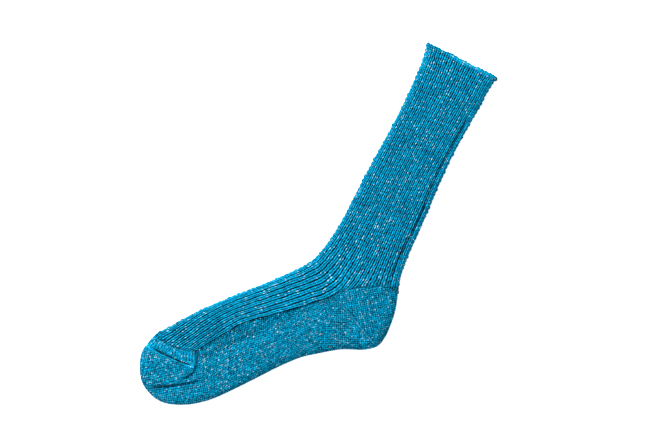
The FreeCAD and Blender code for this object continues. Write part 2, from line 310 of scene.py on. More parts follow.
# One rib: two rounded rows of legs side by side with a crease between them, and a deeper gap
# between one rib and the next.  The rib is 1 less the fifth power of the distance across, and a
# row is half an ellipse.  Gives the height, how open to the light each point is, from 0 in the
# gap to 1 on the crown, which the yarn turns into painted shade in the gaps, with a random tone
# for each leg, and the legs alone; the last argument paints light into the crease between the rows.
def ribRelief(ribs, course, gap=0.47, paintedCreaseLight=0.0):
    across = ribs - np.floor(ribs) - 0.5
    own = hashed(np.floor(ribs * 2), np.floor(course), 3)
    turn = course - np.floor(course)
    ridge = np.clip(1 - (np.abs(across) / gap) ** 5, 0, 1)
    offset = (np.abs(across) - 0.25 - 0.035 * np.cos(math.pi * turn)) / (0.15 + 0.03 * own)
    row = np.sqrt(np.clip(1 - offset ** 2, 0, 1))
    bead = 0.3 + 0.7 * np.sin(math.pi * turn) ** 0.8
    legs = row * bead
    height = knit["grooveDepth"] * (ridge - 1) + ridge * (knit["legDepth"] * (legs - 1) + 0.25 * (own - 0.5))
    lit = np.clip(1.8 * ridge * legs * (0.62 + 0.38 * own), 0, 1)
    lit = lit + paintedCreaseLight * ridge * bead * (0.75 - lit) * bell(across, 0.16)
    return height, lit, legs * ridge


# Plain knit: the two legs of each stitch, fuller or slimmer at random.  Gives what ribRelief gives;
# how open a point is becomes painted shade between the legs, with a random tone for each leg.
def plainRelief(wales, course):
    across = wales - np.floor(wales) - 0.5
    own = hashed(np.floor(wales * 2), np.floor(course), 5)
    legs = stitchLegs(across, course, 0.26, 0.16, 0.14 + 0.05 * own, 0.6)
    height = -knit["plainLevel"] + 0.6 * (legs - 0.6) + 0.2 * (own - 0.5)
    return height, (0.04 + 0.96 * legs) * (0.7 + 0.3 * own), legs


# At a flattened edge every second or third course stands out as a bump; fromEdge counts in ribs.
def edgeBumps(fromEdge, courses):
    count = courses / 2.6
    size = 0.25 + 1.15 * hashed(0.0, np.floor(count), 41)
    return size * bell(fromEdge, 0.45) * np.sin(math.pi * (count - np.floor(count)))


# Fades one kind of knit into the other: keep is 1 for the first and 0 for the second.
def fadeKnit(first, second, keep):
    return tuple(b + (a - b) * keep for a, b in zip(first, second))


# Colour of each point: how open it is, which sets the painted shade between the stitches, the
# yarn's tint and its pale flecks.  The tint is random for each leg with a slower change along the
# course; a fleck is the core of half a leg.
def yarnColourAndPaintedShade(wales, courses, light, legs):
    leg = np.floor(wales * 2)
    row = np.floor(courses)
    short = np.floor(courses * 2 + 0.5 * hashed(leg, row, 7))
    tint = 0.5 * hashed(leg, row, 11) + 0.25 * hashed(leg, short, 13)
    tint = tint + 0.25 * hashed(np.floor(wales * 0.5 + 0.3 * row), row, 17)
    chance = hashed(leg, row, 23)
    strength = np.where(chance > 0.9, 0.1 + 0.75 * hashed(leg, row, 29), 0.0)
    fleck = strength * smooth((legs - 0.6) * 4)
    return np.stack([np.clip(light, 0, 1), tint, fleck, np.ones_like(tint)], axis=-1)


# Triangles between a fine edge and a coarse one that has a point every step of it.
def hemFaces(fine, coarse, step):
    cells = (len(fine) - 1) // step
    half = step // 2
    faces = []
    for offset in range(step):
        a, b = fine[offset::step][:cells], fine[offset + 1::step][:cells]
        apex = coarse[:-1] if offset < half else coarse[1:]
        faces.append(np.stack([a, b, apex], axis=1))
    faces.append(np.stack([fine[half::step][:cells], coarse[1:], coarse[:-1]], axis=1))
    return np.concatenate(faces)


def gridQuads(index):
    return np.stack([index[:-1, :-1], index[:-1, 1:], index[1:, 1:], index[1:, :-1]], axis=-1).reshape(-1, 4)


# The outer grid, a coarser inner grid behind it, and rims between the two edges.
def closedFabric(name, outer, inner, colour, wales, courses, ring, step):
    rows, columns = outer.shape[:2]
    pickRows = np.arange(0, rows, step)
    pickColumns = np.arange(0, columns + step, step) % columns if ring else np.arange(0, columns, step)
    outerIndex = np.arange(rows * columns).reshape(rows, columns)
    innerCount = len(pickRows), len(pickColumns) - (1 if ring else 0)
    innerIndex = rows * columns + np.arange(innerCount[0] * innerCount[1]).reshape(innerCount)
    picked = np.ix_(pickRows, pickColumns[:innerCount[1]])
    if ring:
        outerIndex = np.concatenate([outerIndex, outerIndex[:, :1]], axis=1)
        innerIndex = np.concatenate([innerIndex, innerIndex[:, :1]], axis=1)
    points = np.concatenate([outer.reshape(-1, 3), inner[picked].reshape(-1, 3)])
    quads = np.concatenate([gridQuads(outerIndex), gridQuads(innerIndex)[:, ::-1]])
    rims = [hemFaces(outerIndex[0][::-1], innerIndex[0][::-1], step)]
    rims.append(hemFaces(outerIndex[-1], innerIndex[-1], step))
    if not ring:
        rims.append(hemFaces(outerIndex[:, 0], innerIndex[:, 0], step))
        rims.append(hemFaces(outerIndex[::-1, -1], innerIndex[::-1, -1], step))
    triangles = np.concatenate(rims)
    # the inner side gets a middling painted shade between its stitches
    behind = colour[picked].reshape(-1, 4) * [0, 1, 0, 1] + [0.45, 0, 0, 0]      # half open, without flecks
    colours = np.concatenate([colour.reshape(-1, 4), behind])
    stitch = np.stack([wales, courses], axis=-1)
    uv = np.concatenate([stitch.reshape(-1, 2), stitch[picked].reshape(-1, 2)])
    return makeMesh(name, points * mm, quads, triangles, colours, uv)


# Above zero when the faces point outwards.
def signedVolume(points, triangles):
    a, b, c = points[triangles[:, 0]], points[triangles[:, 1]], points[triangles[:, 2]]
    return float(np.einsum("ij,ij->i", a, np.cross(b, c)).sum() / 6)


# Joins points that share a place, and drops faces that shrink to nothing; a four-sided face
# that loses one corner becomes a triangle.
def mergedPoints(points, quads, triangles):
    keys = np.round(points / 1e-6).astype(np.int64)
    _, first, index = np.unique(keys, axis=0, return_index=True, return_inverse=True)
    index = index.reshape(-1)
    quads, triangles = index[quads], index[triangles]
    same = quads == np.roll(quads, -1, axis=1)
    lost = same.sum(axis=1)
    short = quads[lost == 1]
    spot = same[lost == 1].argmax(axis=1)
    keep = np.stack([(spot + k) % 4 for k in (1, 2, 3)], axis=1)
    shorter = np.take_along_axis(short, keep, axis=1)
    edge = np.concatenate([np.ones(len(triangles), bool), np.zeros(len(shorter), bool)])
    triangles = np.concatenate([triangles, shorter])
    good = ~(triangles == np.roll(triangles, -1, axis=1)).any(axis=1)
    return first, quads[lost == 0], triangles[good], edge[good]


def makeMesh(name, points, quads, triangles, colour, uv):
    first, quads, triangles, edge = mergedPoints(points, quads, triangles)
    points, colour, uv = points[first], colour[first], uv[first]
    split = np.concatenate([quads[:, [0, 1, 2]], quads[:, [0, 2, 3]], triangles])
    if signedVolume(points, split) < 0:
        quads, triangles = quads[:, ::-1], triangles[:, ::-1]
    mesh = bpy.data.meshes.new(name)
    corners = np.concatenate([quads.reshape(-1), triangles.reshape(-1)]).astype(np.int32)
    sizes = np.concatenate([np.full(len(quads), 4), np.full(len(triangles), 3)])
    starts = np.concatenate([[0], np.cumsum(sizes)[:-1]]).astype(np.int32)
    mesh.vertices.add(len(points))
    mesh.vertices.foreach_set("co", points.reshape(-1).astype(np.float32))
    mesh.loops.add(len(corners))
    mesh.loops.foreach_set("vertex_index", corners)
    mesh.polygons.add(len(sizes))
    mesh.polygons.foreach_set("loop_start", starts)
    smoothFaces = np.concatenate([np.ones(len(quads), bool), ~edge])       # rims stay crisp
    mesh.polygons.foreach_set("use_smooth", smoothFaces)
    mesh.update(calc_edges=True)
    layer = mesh.color_attributes.new("yarn", "FLOAT_COLOR", "POINT")
    layer.data.foreach_set("color", colour.reshape(-1).astype(np.float32))
    stitchMap = mesh.uv_layers.new(name="stitches")
    stitchMap.data.foreach_set("uv", uv[corners].reshape(-1).astype(np.float32))
    mesh.validate()
    piece = bpy.data.objects.new(name, mesh)
    bpy.context.collection.objects.link(piece)
    print(name, len(quads) * 2 + len(triangles), "triangles")
    return piece


# How far in from the outline a point lies, as a share of the width, when it is an arc's length
# away from the rim's middle along the fabric.
def planShare(arc, width):
    turned = np.clip(arc / rimArc, 0, 1) * math.pi / 2
    inRim = knit["rimPlan"] * (1 - np.cos(turned))
    return np.where(arc < rimArc, inRim, arc - rimSpare) / width


# Points ruled from the outline, share 0, to the inner line, share 1, even along the fabric.
# With some excess the ribs on the flat are wider by that part, and those in the rim narrower:
# arc = (1 + excess) share - excess (1 - exp(-share / 0.25)).
def ruled(inner, outer, share, excess=None):
    width = np.maximum(np.linalg.norm(inner - outer, axis=-1), 1e-6)[:, None]
    if excess is not None:
        crowd = (1 - np.exp(-share / 0.25)) / (1 - math.exp(-4.0))
        share = (1 + excess)[:, None] * share[None, :] - excess[:, None] * crowd[None, :]
    else:
        share = share[None, :]
    arc = share * (width + rimSpare)
    fit = np.clip(planShare(arc, width), 0, 1)
    return outer[:, None, :] + fit[..., None] * (inner - outer)[:, None, :]


# Plan points of both flat sides: the far side from the inner line out to the rim, then the
# near side back in.  bow shifts the points by a vector for each row and share.
def wrappedPatch(inner, outer, steps, bow=None, excess=None):
    share = np.linspace(1, 0, steps + 1)
    half = ruled(inner, outer, share, excess)
    if bow is not None:
        half = half + bow(share)
    plan = np.concatenate([half, half[:, -2::-1]], axis=1)
    near = np.arange(plan.shape[1]) >= steps
    signed = np.concatenate([-share, share[-2::-1]])
    return plan, np.broadcast_to(near, plan.shape[:2]), signed


def tiled(count, step):
    return max(step, int(round(count / step)) * step)


# Stands the stitches out of the fabric along its normals, and closes the piece behind.
def fabricPiece(name, plan, near, wales, courses, relief, colour, ring=False, step=5, rim=None):
    base, normal = fabricBase(plan, near, rim)
    outer = base + normal * relief[..., None]
    inner = base - normal * knit["thickness"]
    return closedFabric(name, outer, inner, colour, wales, courses, ring, step)


courseStep = knit["courseMm"] / knit["courseSteps"]
vAnkle = mouthY - ankleTop
vBend = vAnkle + 67.0        # the course on which the heel starts
vRibEnd = vBend + 149.0      # the last ribbed course over the instep
ribCrowding = [(0, 0.14), (25, 0.13), (80, 0.04), (120, -0.05), (162, -0.05), (200, 0.05), (229, 0.12),
               (262, 0.18), (305, 0.2), (340, 0.08), (378, -0.02)]


# The outline in front, the ninth rib and the outline behind, for each course v, and how much
# wider the ribs on the flat are there.
def guides(v):
    y = mouthY - v
    leg = v <= vAnkle
    bend = np.clip((v - vAnkle) / (vBend - vAnkle), 0, 1)
    on = np.clip((v - vBend) / (vRibEnd - vBend), 0, 1)
    front = np.where(leg[:, None], legSide(y, True), along(bend, markAnkleFront, markBend))
    front = np.where((v > vBend)[:, None], along(on, markBend, markRibEnd), front)
    back = np.where(leg[:, None], legSide(y, False), along(bend, markAnkleBack, markHeelTop))
    share = knit["instepRibs"] / knit["legRibs"]
    straight = legSide(y, True) * (1 - share) + legSide(y, False) * share
    middle = np.where(leg[:, None], straight, middleAt(bend * middleKnots[-1]))
    middle = np.where((v > vBend)[:, None], sideAt(on * sideKnots[-1]), middle)
    excess = np.interp(v, *zip(*ribCrowding))
    return front, middle, back, excess


# Lifts the courses behind the ninth rib, until the last lies on the heel's curved top.
def heelBow(v, share):
    ramp = smooth((v - vAnkle) / (vBend - vAnkle))
    rise = knit["heelRise"] * share * (1 - share)
    return ramp[:, None] * rise[None, :]


# Lowers the last courses of the instep, as the seam lies.
def toeBow(v, share):
    ramp = smooth((v - vRibEnd + 45) / 45)
    drop = -ramp[:, None] * (knit["toeDrop"] * share * (1 - share))[None, :]
    return np.stack([np.zeros_like(drop), drop], axis=-1)


# The flattened tube at each course: plan points round it from the front edge over the near side
# to the back edge and home on the far side, which of them are near, and the rib count.
def ringPlan(v):
    front, middle, back, excess = guides(v)
    fore = np.linspace(0, 1, knit["instepRibs"] * knit["ribSteps"] + 1)
    aft = np.linspace(0, 1, (knit["legRibs"] - knit["instepRibs"]) * knit["ribSteps"] + 1)
    frontHalf = ruled(middle, front, fore, excess)
    backHalf = ruled(middle, back, aft, excess)
    backHalf[..., 1] += heelBow(v, 1 - aft)
    near = np.concatenate([frontHalf, backHalf[:, -2::-1]], axis=1)
    plan = np.concatenate([near, near[:, -2:0:-1]], axis=1)
    columns = np.arange(plan.shape[1])
    onNear = np.broadcast_to(columns <= knit["legRibs"] * knit["ribSteps"], plan.shape[:2])
    return plan, onNear, np.broadcast_to(columns / knit["ribSteps"] + 1e-6, plan.shape[:2])


def legTube(name, vFrom, vTo, fadeHeel=False):
    rows = tiled((vTo - vFrom) / courseStep, 5) + 1
    v = np.linspace(vFrom, vTo, rows)
    plan, onNear, ribs = ringPlan(v)
    courses = np.broadcast_to((v / knit["courseMm"])[:, None], plan.shape[:2])
    fromFront = np.mod(ribs, knit["legRibs"])
    bumps = edgeBumps(np.minimum(fromFront, knit["legRibs"] - fromFront), courses)
    ribs, courses = wander(plan, ribs, courses, knit["ribSway"])
    keep = np.ones(plan.shape[:2])
    if fadeHeel:
        backRib = np.minimum(ribs, 2 * knit["legRibs"] - ribs) > knit["instepRibs"] + 0.02
        last = 3.0 + 9.0 * hashed(np.floor(ribs), 0.0, 41)        # each rib fades at its own course
        keep = np.where(backRib, keep * smooth((vBend - v[:, None] - last + 9.0) / 11.0), keep)
    # painted light: the crease between a rib's two rows is painted lighter further from the mouth
    paintedCreaseLight = 0.7 * smooth((v[:, None] - 185) / 40)
    ribKnit = ribRelief(ribs, courses, 0.47, paintedCreaseLight)
    relief, light, legs = fadeKnit(ribKnit, plainRelief(ribs * 2, courses), keep)
    colour = yarnColourAndPaintedShade(ribs, courses, light, legs)
    return fabricPiece(name, plan, onNear, ribs, courses, relief + bumps, colour, ring=True)


vLip = mouthY - lipBase
legUpper = legTube("legUpper", vLip, mouthY - foldTop)
foldBand = legTube("legFoldBand", mouthY - foldTop, mouthY - foldBase)
legLower = legTube("legLower", mouthY - foldBase, vAnkle)
ankleBand = legTube("ankleBand", vAnkle, vBend, fadeHeel=True)
print("ribbed leg ready")


def makeInstep():
    rows = tiled((vRibEnd - vBend) / courseStep, 5) + 1
    v = np.linspace(vBend, vRibEnd, rows)
    front, middle, _, excess = guides(v)
    steps = knit["instepRibs"] * knit["ribSteps"]
    plan, near, signed = wrappedPatch(middle, front, steps, lambda share: toeBow(v, share), excess)
    ribs = np.broadcast_to(signed * knit["instepRibs"] + knit["instepRibs"] + 1e-6, plan.shape[:2])
    courses = np.broadcast_to((v / knit["courseMm"])[:, None], plan.shape[:2])
    bumps = edgeBumps(ribs - knit["instepRibs"], courses)
    ribs, courses = wander(plan, ribs, courses, knit["ribSway"])
    keep = smooth((vRibEnd - v) / 7.0)[:, None]
    # painted light: the crease between a rib's two rows is painted lighter, fading out towards the ribs' end
    paintedCreaseLight = 0.7 * smooth((vRibEnd - 25 - v[:, None]) / 50)
    ribKnit = ribRelief(ribs, courses, 0.455, paintedCreaseLight)
    relief, light, legs = fadeKnit(ribKnit, plainRelief(ribs * 2, courses), keep)
    colour = yarnColourAndPaintedShade(ribs, courses, light, legs)
    return fabricPiece("instepPanel", plan, near, ribs, courses, relief + bumps, colour)


instep = makeInstep()
print("instep ready")


# How strongly the painted shade between the plain stitches shows: a stitch of mean light gets
# the middle tone.  The last three are the groove between the sole and the last rib, its depth,
# its painted shade and its width.
plainLook = dict(meanLight=0.42, middle=0.48, contrast=3.0, soleMiddle=0.46, soleContrast=2.4,
                 borderDepth=0.8, borderShade=0.6, borderMm=1.2)


# A patch of plain knit whose wales run in the direction waleRun of the flat plan.
def plainPatch(name, inner, outer, steps, waleRun, bow=None, excess=None):
    plan, near, signed = wrappedPatch(inner, outer, steps, bow, excess)
    run = np.array(waleRun, float) / np.linalg.norm(waleRun)
    across = np.array([-run[1], run[0]])
    rim = rimDistance(plan)
    flat = unrolled(plan, *rim)
    wales = (flat @ across) / knit["plainWale"] + np.where(near, 0, 400)     # other stitches on the far side
    courses = (flat @ run) / knit["plainCourse"]
    wales, courses = wander(plan, wales, courses, knit["plainSway"])
    relief, light, legs = plainRelief(wales, courses)
    # painted shade: how strongly the shade between the plain stitches shows
    light = np.clip(plainLook["middle"] + (light - plainLook["meanLight"]) * plainLook["contrast"], 0, 1)
    colour = yarnColourAndPaintedShade(wales, courses, light, legs)
    return fabricPiece(name, plan, near, wales, courses, relief, colour, rim=rim)


# The ways that the wales run, and the two gores: goreShift leads from a gore's upper edge to its lower.
upperHeelRun, lowerHeelRun = (0.6, -0.8), (-0.895, -0.446)
upperToeRun, lowerToeRun = (-0.78, -0.62), (-0.81, -0.59)
goreWidth = 3.0
goreShift = np.array([0.55, -2.95])


# Along a gore the stitches lean over each other: slanting beads, higher in the strip's middle,
# with painted shade between the beads.
def goreRelief(beads, down):
    slant = 0.5 + 0.5 * np.sin(2 * math.pi * (beads * 2 + down * 0.9))
    swell = np.sin(math.pi * down) ** 0.5
    return -0.62 + 0.3 * slant * swell, 0.32 + 0.5 * slant * swell, slant * swell


def gorePiece(name, inner, outer, steps, beadCount, bow=None):
    plan, near, signed = wrappedPatch(inner, outer, steps, bow)
    down = np.broadcast_to(np.linspace(0, 1, len(outer))[:, None], plan.shape[:2])
    beads = np.broadcast_to(np.abs(signed)[None, :] * beadCount, plan.shape[:2])
    relief, light, legs = goreRelief(beads, down)
    colour = yarnColourAndPaintedShade(beads * 2, down * 3, light, legs)
    return fabricPiece(name, plan, near, beads, down, relief, colour)


# The heel is three fans round the gore point: its upper half, the gore, and its lower half.
def makeHeel():
    rows = 121
    t = np.linspace(0, 1, rows)
    inner = np.repeat(gorePoint[None], rows, axis=0)
    outer = along(t, markHeelTop, markHeelCorner)

    def bow(share):
        rise = knit["heelRise"] * (1 - share) * share * ((1 - t) ** 2)[:, None]
        return np.stack([np.zeros_like(rise), rise], axis=-1)

    crowd = np.interp(vBend, *zip(*ribCrowding)) * (1 - t) ** 2       # as the ribs above it
    upper = plainPatch("heelUpper", inner, outer, 135, upperHeelRun, bow=bow, excess=crowd)
    lowPoint = gorePoint + goreShift
    down = np.linspace(0, 1, 11)
    inner = gorePoint + down[:, None] * (lowPoint - gorePoint)
    outer = outlineAt(outlineKnots[markHeelCorner] - goreWidth * down)
    gore = gorePiece("heelGore", inner, outer, 145, 27)
    inner = np.repeat(lowPoint[None], rows, axis=0)
    start = outlineKnots[markHeelCorner] - goreWidth
    outer = outlineAt(start + t * (outlineKnots[markHeelBase] - start))
    lower = plainPatch("heelLower", inner, outer, 125, lowerHeelRun)
    return upper, gore, lower


heelUpper, heelGore, heelLower = makeHeel()
print("heel ready")


def makeSole():
    rows = 291
    t = np.linspace(0, 1, rows)
    inner = sideAt(t * sideKnots[-1])
    outer = along(t, markHeelBase, markToeLine)
    inner[0] = gorePoint
    plan, near, signed = wrappedPatch(inner, outer, 5 * knit["soleWales"])
    wales = np.broadcast_to((signed + 1) * knit["soleWales"] + 1e-6, plan.shape[:2])
    lengthMm = 139
    courses = np.broadcast_to((t * lengthMm / knit["plainCourse"])[:, None], plan.shape[:2])
    wales, courses = wander(plan, wales, courses, knit["plainSway"])
    relief, light, legs = plainRelief(wales, courses)
    widthMm = 47.0
    border = np.exp(-(1 - np.abs(signed)) * widthMm / plainLook["borderMm"])[None, :]
    relief = relief - plainLook["borderDepth"] * border
    # painted shade: stronger stitch shade on the sole, and the groove along its border painted darker
    light = plainLook["soleMiddle"] + (light - plainLook["meanLight"]) * plainLook["soleContrast"]
    light = np.clip(light, 0, 1) * (1 - plainLook["borderShade"] * border)
    colour = yarnColourAndPaintedShade(wales, courses, light, legs)
    return fabricPiece("solePanel", plan, near, wales, courses, relief, colour)


solePanel = makeSole()
print("sole ready")


# The toe: two plain courses, the closing seam, the toe's top as a fan, its gore, and its sole.
# All of them start from the ear line, and each share of it belongs to one piece.
toe = dict(seamShare=0.62, fanShare=0.8, seamMm=3.0, seamSag=6.0, goreSag=26.0)
pullAway = np.array([0.626, -0.78])      # the way the gore bows


def earPlace(t):
    return earAt(np.asarray(t) * earKnots[-1])


# A bow of the rulings: amount times share times what is left of it, along away.
def sagged(amount, share, away):
    bow = (share * (1 - share))[None, :]
    return (np.asarray(amount, float)[:, None] * bow)[..., None] * np.asarray(away)


def makeToe():
    t = np.linspace(0, 1, 26)
    inner = earPlace(t * toe["seamShare"])
    outer = along(t, markRibEnd, markSeam)
    sag = knit["toeDrop"] + (toe["seamSag"] - knit["toeDrop"]) * t
    steps = knit["instepRibs"] * knit["ribSteps"]
    plan, near, signed = wrappedPatch(inner, outer, steps, lambda share: sagged(sag, share, (0, -1)))
    wales = np.broadcast_to((signed + 1) * 2 * knit["instepRibs"] + 1e-6, plan.shape[:2])
    courses = np.broadcast_to(((vRibEnd + 11.5 * t) / knit["courseMm"])[:, None], plan.shape[:2])
    wales, courses = wander(plan, wales, courses, knit["plainSway"])
    relief, light, legs = plainRelief(wales, courses)
    # painted light: less shade painted between the stitches of the two plain courses
    colour = yarnColourAndPaintedShade(wales, courses, 0.3 + 0.7 * light, legs)
    band = fabricPiece("plainCourses", plan, near, wales, courses, relief, colour)

    t = np.linspace(0, 1, 11)
    start = outlineKnots[markSeam]
    inner = earPlace(toe["seamShare"] + (toe["fanShare"] - toe["seamShare"]) * t)
    outer = outlineAt(start + toe["seamMm"] * t)
    sag = np.full(11, toe["seamSag"])
    plan, near, signed = wrappedPatch(inner, outer, 110, lambda share: sagged(sag, share, (0, -1)))
    down = np.broadcast_to(t[:, None], plan.shape[:2])
    beads = np.broadcast_to(signed[None, :] * 24 + 24 + 1e-6, plan.shape[:2])
    twist = 0.5 + 0.5 * np.sin(2 * math.pi * (beads + down))
    relief = -0.6 - 0.5 * bell(down - 0.5, 0.2) + 0.25 * twist * smooth(2 * np.abs(down - 0.5))
    inward = np.abs(signed)[None, :]
    furrow = smooth(inward * 4 - 0.4) * smooth((1 - inward) * 6)
    # painted shade along the seam's furrow, and painted light on its twisted beads
    light = np.clip(0.7 - 0.65 * bell(down - 0.4, 0.3) * furrow + 0.25 * twist, 0, 1)
    colour = yarnColourAndPaintedShade(beads * 2, down * 3, light, twist)
    seam = fabricPiece("toeSeam", plan, near, beads, down, relief, colour)

    t = np.linspace(0, 1, 81)
    start = start + toe["seamMm"]
    inner = np.repeat(earPlace(toe["fanShare"])[None], 81, axis=0)
    outer = outlineAt(start + t * (outlineKnots[markToeGore] - start))

    def topBow(share):
        top = sagged(toe["seamSag"] * (1 - t) ** 2, share, (0, -1))
        return top + sagged(toe["goreSag"] * t ** 2, share, pullAway)

    upper = plainPatch("toeUpper", inner, outer, 110, upperToeRun, bow=topBow)

    t = np.linspace(0, 1, 11)
    start = outlineKnots[markToeGore]
    inner = earPlace(toe["fanShare"] + (1 - toe["fanShare"]) * t)
    outer = outlineAt(start + goreWidth * t)
    goreSags = np.full(11, toe["goreSag"])
    gore = gorePiece("toeGore", inner, outer, 125, 24, lambda share: sagged(goreSags, share, pullAway))

    t = np.linspace(0, 1, 161)
    start = start + goreWidth
    outer = outlineAt(start + t * (outlineKnots[markToeLine] - start))
    sag = toe["goreSag"] * (1 - t) ** 2
    lower = plainPatch("toeLower", earPlace(1 - t), outer, 120, lowerToeRun,
                       bow=lambda share: sagged(sag, share, pullAway))
    return band, seam, upper, gore, lower


plainCourses, toeSeam, toeUpper, toeGore, toeLower = makeToe()
print("toe ready")


# The cuff's lip: the fabric runs up past the last ribs, rolls over and comes down inside;
# the hem below it is the turned-in part, with the elastic between them.
cuff = dict(lipTop=205.6, wave=0.9, roll=1.3, hemTop=203.6, hemOut=-3.0, hemIn=-4.1, elasticDepth=-2.45,
            elasticWidth=0.66, elasticPitch=2.1, elasticLoops=6)


def closedRing(name, points, colour, uv):
    rows, columns = points.shape[:2]
    index = np.arange(rows * columns).reshape(rows, columns)
    index = np.concatenate([index, index[:1]], axis=0)
    index = np.concatenate([index, index[:, :1]], axis=1)
    none = np.zeros((0, 3), int)
    places = points.reshape(-1, 3) * mm
    return makeMesh(name, places, gridQuads(index), none, colour.reshape(-1, 4), uv.reshape(-1, 2))


# A closed profile carried round the mouth: up the outside, half round over the top, and down
# the inside; depths count from the fabric's middle surface along its normal.
def rolledRing(name, yLow, yHigh, outside, inside, wave, roll):
    rise = np.linspace(0, 1, 16)
    turn = np.linspace(0, math.pi, 13)[1:-1]
    radius = (outside - inside) / 2
    tall = (yHigh - yLow) * rise
    height = np.concatenate([yLow + tall, yHigh + radius * np.sin(turn), yHigh - tall])
    across = inside + radius * (1 + np.cos(turn))
    depth = np.concatenate([np.full(16, outside), across, np.full(16, inside)])
    top = np.concatenate([smooth(rise), np.ones(len(turn)), smooth(1 - rise)])
    outer = np.concatenate([np.ones(16), np.cos(turn / 2) ** 2, np.zeros(16)])
    plan, onNear, ribs = ringPlan(mouthY - height)
    courses = np.broadcast_to(((mouthY - height) / knit["courseMm"])[:, None], plan.shape[:2])
    angle = ribs * 2 * math.pi
    bumps = 0.5 * np.abs(np.sin(angle / 2)) + 0.35 * np.sin(angle / 7.2 + 0.8) + 0.3 * np.sin(angle / 3.3)
    bumps += 0.5 * (hashed(np.floor(ribs * 2), 0.0, 47) - 0.5)
    base, normal = fabricBase(plan, onNear)
    smoothPart = smooth((ribs - 6) / 3) * smooth((19 - ribs) / 2)      # the near side's back half
    keep = np.clip(1 - (height[:, None] - yLow) / (5.5 - 3.0 * smoothPart), 0, 1) * outer[:, None]
    relief, light, legs = fadeKnit(ribRelief(ribs, courses), plainRelief(ribs * 2, courses), keep)
    # painted light: less shade on the rolled lip where its ribs have faded, more on the near side's back
    # half
    light = np.clip(light + (0.1 + 0.16 * smoothPart) * (1 - keep), 0, 1)
    backCorner = bell(ribs - knit["legRibs"], 1.3)      # where the lip stands out
    corner = 0.7 + 0.5 * smoothPart + 0.9 * backCorner + 0.4 * bell(ribs - 2 * knit["legRibs"], 1.3)
    edge = (bell(height - yHigh + 1.2, 1.9) * outer)[:, None]
    away = depth[:, None] + relief * (2 * outer - 1)[:, None] + roll * corner * edge
    points = base + normal * away[..., None]
    points[..., 1] += wave * bumps * top[:, None]
    colour = yarnColourAndPaintedShade(ribs, courses, light, legs)
    return closedRing(name, points, colour, np.stack([ribs, courses], axis=-1))


# Loops of covered elastic: a round section carried round the mouth at each height.
def elasticRing(name):
    turn = np.linspace(0, 2 * math.pi, 9)[:-1]
    height = hemBase + (np.arange(cuff["elasticLoops"]) + 0.25) * cuff["elasticPitch"]
    plan, onNear, ribs = ringPlan(mouthY - height)
    plan, onNear = plan[:, ::4], onNear[:, ::4]
    base, normal = fabricBase(plan, onNear)
    half = cuff["elasticWidth"] / 2
    middle = base + normal * cuff["elasticDepth"]
    ups = np.zeros_like(base)
    ups[..., 1] = 1
    points = middle[:, None] + half * (np.cos(turn)[None, :, None, None] * normal[:, None]
                                       + np.sin(turn)[None, :, None, None] * ups[:, None])
    loops, around, columns = points.shape[:3]
    cells = np.arange(around * columns).reshape(around, columns)
    cells = np.concatenate([cells, cells[:1]], axis=0)
    cells = gridQuads(np.concatenate([cells, cells[:, :1]], axis=1))
    quads = np.concatenate([cells + k * around * columns for k in range(loops)])
    colour = np.ones((points.size // 3, 4)) * [0.8, 0.8, 0.0, 1.0]
    return makeMesh(name, points.reshape(-1, 3) * mm, quads, np.zeros((0, 3), int), colour, colour[:, :2])


cuffLip = rolledRing("cuffLip", lipBase, cuff["lipTop"], 0.0, -1.9, cuff["wave"], cuff["roll"])
cuffHem = rolledRing("cuffHem", hemBase, cuff["hemTop"], cuff["hemOut"], cuff["hemIn"], 0.0, 0.0)
cuffElastic = elasticRing("cuffElastic")
print("cuff ready")


# Yarn: the stitches' tint, the painted shade of their depth and the pale flecks come from the
# piece's own colours.
yarn = dict(
    ramp=[(0.0, (0, 70, 108)), (0.3, (0, 122, 164)), (0.55, (0, 152, 196)), (0.8, (2, 182, 226)),
          (1.0, (100, 216, 244))],
    # painted shade: the deep colour is the shade painted between the stitches, up to darkBelow
    deep=(0, 8, 24),              # between the stitches
    fleck=(200, 238, 246),
    roughness=0.95,
    specular=0.06,
    fuzzScale=900.0,
    fuzzDepth=0.0003,
    darkBelow=0.28,               # openness up to which the deep colour holds
    fullAbove=0.84,               # and from which the yarn shows in full
)


# Screen value to light: below 0.04 in proportion, above it the 2.4 power.
def linear(colour):
    share = np.array(colour, float) / 255
    light = np.where(share <= 0.04045, share / 12.92, ((share + 0.055) / 1.055) ** 2.4)
    return (*light.tolist(), 1.0)


